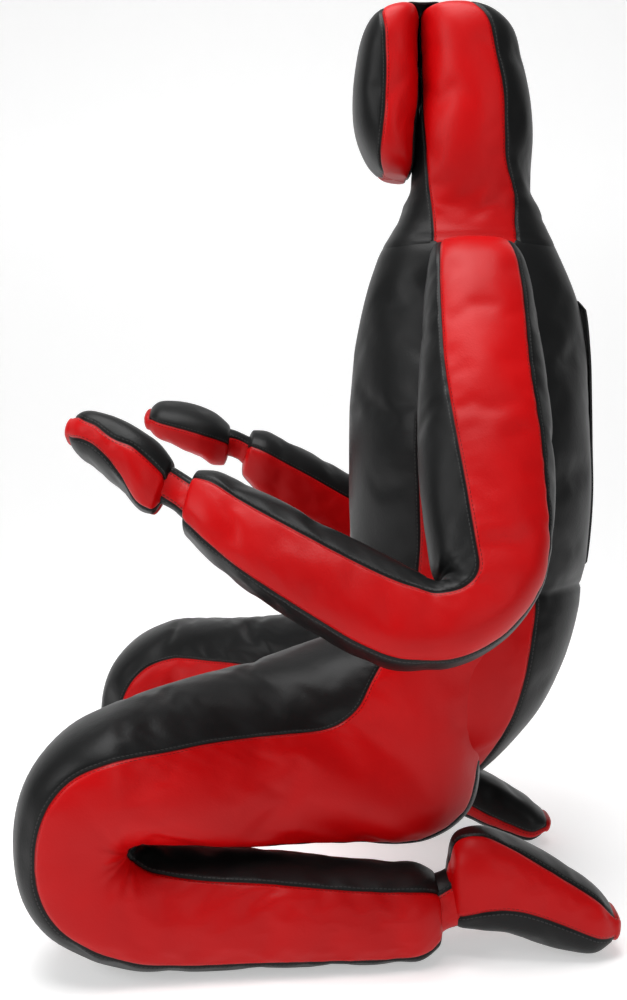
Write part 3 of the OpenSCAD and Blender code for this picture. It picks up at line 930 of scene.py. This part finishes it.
def arm_skins(side):
    """Arm, wrist and hand of one side."""
    place = arm_place(side)
    bend = posed(side, ELBOW_BEND, closed=0, bend="elbow")
    arm = posed(side, ARM, closed=0) + bend + posed(side, FOREARM)
    wrist = posed(side, WRIST, bend="wrist")
    hand = posed(side, HAND, dropped=1)
    return {
        side + "_arm": Skin(side + "_arm_cover", arm, SEAMS_ARM, PANEL_TONES, place, caps=(3, 6)),
        side + "_wrist": Skin(
            side + "_wrist_neck", wrist, SEAMS_WRIST, PANEL_TONES, place,
            caps=(2, 2), spacing=SMALL_ROW_SPACING["neck"],
        ),
        side + "_hand": Skin(
            side + "_hand_cover", hand, SEAMS_HAND, PANEL_TONES, place,
            caps=(6, 8), tip_tone=RED, spacing=SMALL_ROW_SPACING["hand"],
        ),
    }


def leg_skins(side):
    """Leg, ankle and foot of one side."""
    place = side_place(side)
    ankle_x = ANKLE_X[side]
    leg = leg_sections(ankle_x)
    ankle = ankle_sections(ankle_x)
    foot = foot_sections(ankle_x, TOE_IN[side], FOOT_LENGTH[side], FOOT_HEIGHT[side])
    return {
        side + "_leg": Skin(side + "_leg_cover", leg, SEAMS_LEG, PANEL_TONES, place, caps=(4, 6)),
        side + "_ankle": Skin(
            side + "_ankle_neck", ankle, SEAMS_ANKLE, PANEL_TONES, place,
            caps=(2, 2), spacing=SMALL_ROW_SPACING["neck"],
        ),
        side + "_foot": Skin(
            side + "_foot_cover", foot, SEAMS_FOOT, PANEL_TONES, place,
            caps=(4, 9), tip_tone=RED, spacing=SMALL_ROW_SPACING["foot"],
        ),
    }


trunk = Skin(
    "trunk_cover", TRUNK, SEAMS_TRUNK, PANEL_TONES, upright,
    caps=(4, 14), squareness=TRUNK_SQUARENESS,
)
head = Skin("head_cover", HEAD, SEAMS_HEAD, PANEL_TONES, upright, caps=(3, 6), cap_tone=BLACK)
face_pad = Skin(
    "face_pad_cover", FACE_PAD, SEAMS_PAD, PANEL_TONES, upright,
    caps=(3, 2), cap_tone=RED, tip_tone=RED,
)
skins = {"trunk": trunk, "head": head, "face_pad": face_pad}
for side in SIDES:
    skins.update(arm_skins(side))
    skins.update(leg_skins(side))

hold_at_neck(trunk)
hold_at_neck(head)
stuff(list(skins.values()), STUFFING_PRESSURE)


def on_gusset(p):
    """1 on the neck's side gussets, 0 on its front and rear panels."""
    return np.clip((np.abs(p[:, 0]) - 58) / 6, 0, 1)


def all_round(p):
    return np.ones(len(p))


knee_folds = radial_crease(KNEE_FOLD, depth=2.2, inner=18, reach=60, folds=4.2, seed=31)
hip_folds = radial_crease(HIP_FOLD, depth=0.8, inner=40, reach=130, folds=3.0, seed=43)
neck_folds = level_crease(NECK_JOIN + 37, depth=1.1, reach=20, pitch=8, seed=41)
waist_folds = level_crease(WAIST_SEAM, depth=0.9, reach=24, pitch=11, seed=42)
gusset_foot = ring_seam(NECK_JOIN + 3, depth=2.2, width=2.2, where=on_gusset)
waist_seam = ring_seam(WAIST_SEAM, depth=2.4, width=2.4, where=all_round)
creases = {"trunk": [waist_folds, gusset_foot, waist_seam], "head": [neck_folds, gusset_foot]}
for side in SIDES:
    creases[side + "_leg"] = [knee_folds, hip_folds]
    creases[side + "_arm"] = [
        radial_crease(ELBOW, depth=1.8, inner=15, reach=50, folds=3.6, seed=33, axis=to_arm(side))
    ]
for key, skin in skins.items():
    refine(skin, creases.get(key, []))
    for tone in TONES:
        skin.object.data.materials.append(LOOKS[tone])



# ---------------------------------------------------------------- strap and hinge


def tube(name, rings):
    """A closed mesh through rings of points in mm, flat at both ends, in the strap's webbing."""
    mesh = bmesh.new()
    rows = [[mesh.verts.new([c * MM for c in point]) for point in ring] for ring in rings]
    for one, two in zip(rows, rows[1:]):
        for k in range(len(one)):
            n = (k + 1) % len(one)
            mesh.faces.new((one[k], one[n], two[n], two[k]))
    mesh.faces.new(rows[0])
    mesh.faces.new(rows[-1])
    bmesh.ops.recalc_face_normals(mesh, faces=mesh.faces)
    data = bpy.data.meshes.new(name)
    mesh.to_mesh(data)
    mesh.free()
    data.polygons.foreach_set("use_smooth", [True] * len(data.polygons))
    data.materials.append(LOOKS[STRAP])
    obj = bpy.data.objects.new(name, data)
    scene.collection.objects.link(obj)
    return obj


def strap_rings():
    """Webbing down the middle of the back, raised at its hems, with both ends tucked under."""
    along = np.linspace(STRAP_TOP, STRAP_FOOT, 60)
    rows = smooth_sections(TRUNK, 4)
    order = np.argsort(rows[:, 3])
    fade = np.clip(np.minimum(STRAP_TOP - along, along - STRAP_FOOT) / STRAP_HEM, 0, 1)
    back = np.interp(along, rows[order, 3], rows[order, 2]) + 4.2 + 2.2 * fade - 4.5 * (1 - fade)
    half = STRAP_WIDTH / 2
    profile = [(-half, 0), (-half + 1.2, 1), (-half + 4, 0.82), (-half + 6, 1), (0, 1.1)]
    profile += [(-x, t) for x, t in profile[-2::-1]]
    rings = []
    for z, y in zip(along, back):
        outer = [(x, y + t * STRAP_THICKNESS, z) for x, t in profile]
        inner = [(x, y - 0.6, z) for x, t in reversed(profile[1:-1])]
        rings.append(outer + inner)
    return rings


def hinge_rings():
    """A short sewn strip from the face pad's top edge to the head, for the pad to lift on."""
    widths = np.linspace(-HINGE_HALF, HINGE_HALF, 13)
    rings = []
    for y in np.linspace(HINGE_FROM, HINGE_TO, 15):
        across = (y - HINGE_FROM) / (HINGE_TO - HINGE_FROM) * 2 - 1
        z = HINGE_TOP - 1.6 * (1 - across * across) - 2.5 * across**8
        upper = [(x, y, z) for x in widths]
        under = [(x, y, z - HINGE_THICKNESS) for x in reversed(widths)]
        rings.append(upper + under)
    return rings


strap = tube("back_strap_webbing", strap_rings())
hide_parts("back_strap")
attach(strap, "torso")

hinge = tube("face_hinge_strip", hinge_rings())
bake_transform(hinge)


# ---------------------------------------------------------------- the CAD nodes each cover stands for, and the bodies some ride on


def nodes_of(*bodies, but=()):
    """The names of the CAD nodes of these bodies, without those named."""
    groups = frame["record"]["behaviour"]["bodies"]
    return [n for b in bodies for n in groups[b] if n not in but]


def dress(skin, nodes, ride=None, blend=None):
    """The cover stands for its CAD nodes, which are hidden, and moves with its body; blend has no
    effect, and such a cover stays fixed.
    """
    obj = skin.object
    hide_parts(*nodes)
    if ride:
        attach(obj, ride)
    else:
        first, second, start, end = blend
        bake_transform(obj)
        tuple(start)
        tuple(end)


def around(node, before, after):
    """Two points either side of the middle of a CAD node, each that far from it."""
    low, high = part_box(node)
    middle = (Vector(low) + Vector(high)) / 2
    return middle - Vector(before), middle + Vector(after)


def arm_spot(side, y, z, dropped=0.0, closed=1.0):
    """A point in the arm's plane, carried to where this side's arm is."""
    section = posed(side, [(y, z, y, z, 0, 0, 0)], closed=closed, dropped=dropped)[0]
    return Vector(arm_place(side)(np.array([0.0, section[0], section[1]])))


waist = around("waist_bend", (0, 0, 0.02), (0, 0, 0.02))
neck = around("neck_bend", (0, 0, 0.008), (0, 0, 0.03))
trunk_nodes = nodes_of("torso", "pelvis", but=["back_strap"])
dress(trunk, trunk_nodes, blend=("pelvis", "torso", *waist))
dress(head, nodes_of("head"), blend=("torso", "head", *neck))
dress(face_pad, nodes_of("face_pad"), ride="face_pad")

for side in SIDES:
    upper, lower, hand = side + "_upper_arm", side + "_forearm", side + "_hand"
    leg, foot = side + "_leg", side + "_foot"
    wrist_node, ankle_node = side + "_wrist_bend", side + "_ankle_bend"

    elbow = arm_spot(side, 20, -370, closed=0), arm_spot(side, -70, -430)
    wrist = arm_spot(side, -292, -299), arm_spot(side, -312, -288)
    dress(skins[side + "_arm"], nodes_of(upper, lower), blend=(upper, lower, *elbow))
    dress(skins[side + "_wrist"], [wrist_node], blend=(lower, hand, *wrist))
    dress(skins[side + "_hand"], nodes_of(hand, but=[wrist_node]), ride=hand)

    out = -1 if side == "right" else 1
    hip = (out * 0.09, 0.17, 0.25), (out * 0.12, -0.02, 0.22)
    ankle = around(ankle_node, (0, 0.012, 0), (0, 0.012, 0))
    dress(skins[side + "_leg"], nodes_of(leg), blend=("pelvis", leg, *hip))
    dress(skins[side + "_ankle"], [ankle_node], blend=(leg, foot, *ankle))
    dress(skins[side + "_foot"], nodes_of(foot, but=[ankle_node]), ride=foot)

# ---------------------------------------------------------------- floor, lights and camera


BACKDROP_NEAR, BACKDROP_FAR, BACKDROP_SIDE, BACKDROP_HIGH = 4.0, 2.2, 8.0, 6.0
BACKDROP_CURVE = 1.5
LIGHTS_AIM = Vector((0, 0, 0.5))
CAMERA_AT = Vector((1.42, -0.019, 0.546))
CAMERA_DOWN = math.radians(1.6)
CAMERA_LENS = 43.6
CAMERA_SHIFT = -0.0560


def plain(name, colour, roughness, glow):
    """A matt surface that gives off a little white light, as lit studio paper seems to."""
    material = bpy.data.materials.new(name)
    material.use_nodes = True
    shader = material.node_tree.nodes["Principled BSDF"]
    shader.inputs["Base Color"].default_value = opaque(colour)
    shader.inputs["Roughness"].default_value = roughness
    shader.inputs["Specular IOR Level"].default_value = 0.1
    shader.inputs["Emission Color"].default_value = (1, 1, 1, 1)
    shader.inputs["Emission Strength"].default_value = glow
    return material


def backdrop():
    """A floor that curves up into a wall behind the dummy."""
    profile = [(BACKDROP_NEAR, 0.0), (-BACKDROP_FAR, 0.0)]
    for turn in np.radians(np.arange(6, 91, 6)):
        back, up = BACKDROP_CURVE * math.sin(turn), BACKDROP_CURVE * (1 - math.cos(turn))
        profile.append((-BACKDROP_FAR - back, up))
    profile.append((-BACKDROP_FAR - BACKDROP_CURVE, BACKDROP_HIGH))
    vertices = [(x, y, z) for x, z in profile for y in (-BACKDROP_SIDE, BACKDROP_SIDE)]
    faces = [(2 * k, 2 * k + 1, 2 * k + 3, 2 * k + 2) for k in range(len(profile) - 1)]
    mesh = bpy.data.meshes.new("backdrop")
    mesh.from_pydata(vertices, [], faces)
    mesh.polygons.foreach_set("use_smooth", [True] * len(faces))
    obj = bpy.data.objects.new("backdrop", mesh)
    scene.collection.objects.link(obj)
    mesh.materials.append(plain("backdrop_white", (0.8, 0.8, 0.8), 0.9, 0.42))


def softbox(name, place, size, power):
    """A square light aimed at the middle of the dummy."""
    light = bpy.data.lights.new(name, "AREA")
    light.size = size
    light.energy = power
    obj = bpy.data.objects.new(name, light)
    obj.location = place
    obj.rotation_euler = (LIGHTS_AIM - Vector(place)).to_track_quat("-Z", "Y").to_euler()
    scene.collection.objects.link(obj)


backdrop()
softbox("top_softbox", (0.5, -0.3, 2.7), size=1.8, power=74)
softbox("front_softbox", (1.6, -2.4, 1.7), size=1.2, power=26)
softbox("camera_fill", (3.0, 1.4, 1.3), size=1.6, power=14)
world = bpy.data.worlds.new("studio")
scene.world = world
world.use_nodes = True
world.node_tree.nodes["Background"].inputs["Color"].default_value = (1, 1, 1, 1)
world.node_tree.nodes["Background"].inputs["Strength"].default_value = 0.2
scene.view_settings.view_transform = "Standard"

lens = bpy.data.cameras.new("camera")
lens.lens = CAMERA_LENS
lens.sensor_width = 36
lens.shift_y = CAMERA_SHIFT
camera = bpy.data.objects.new("camera", lens)
camera.location = CAMERA_AT
camera.rotation_euler = (math.radians(90) - CAMERA_DOWN, 0, math.radians(90))
scene.collection.objects.link(camera)
scene.camera = camera
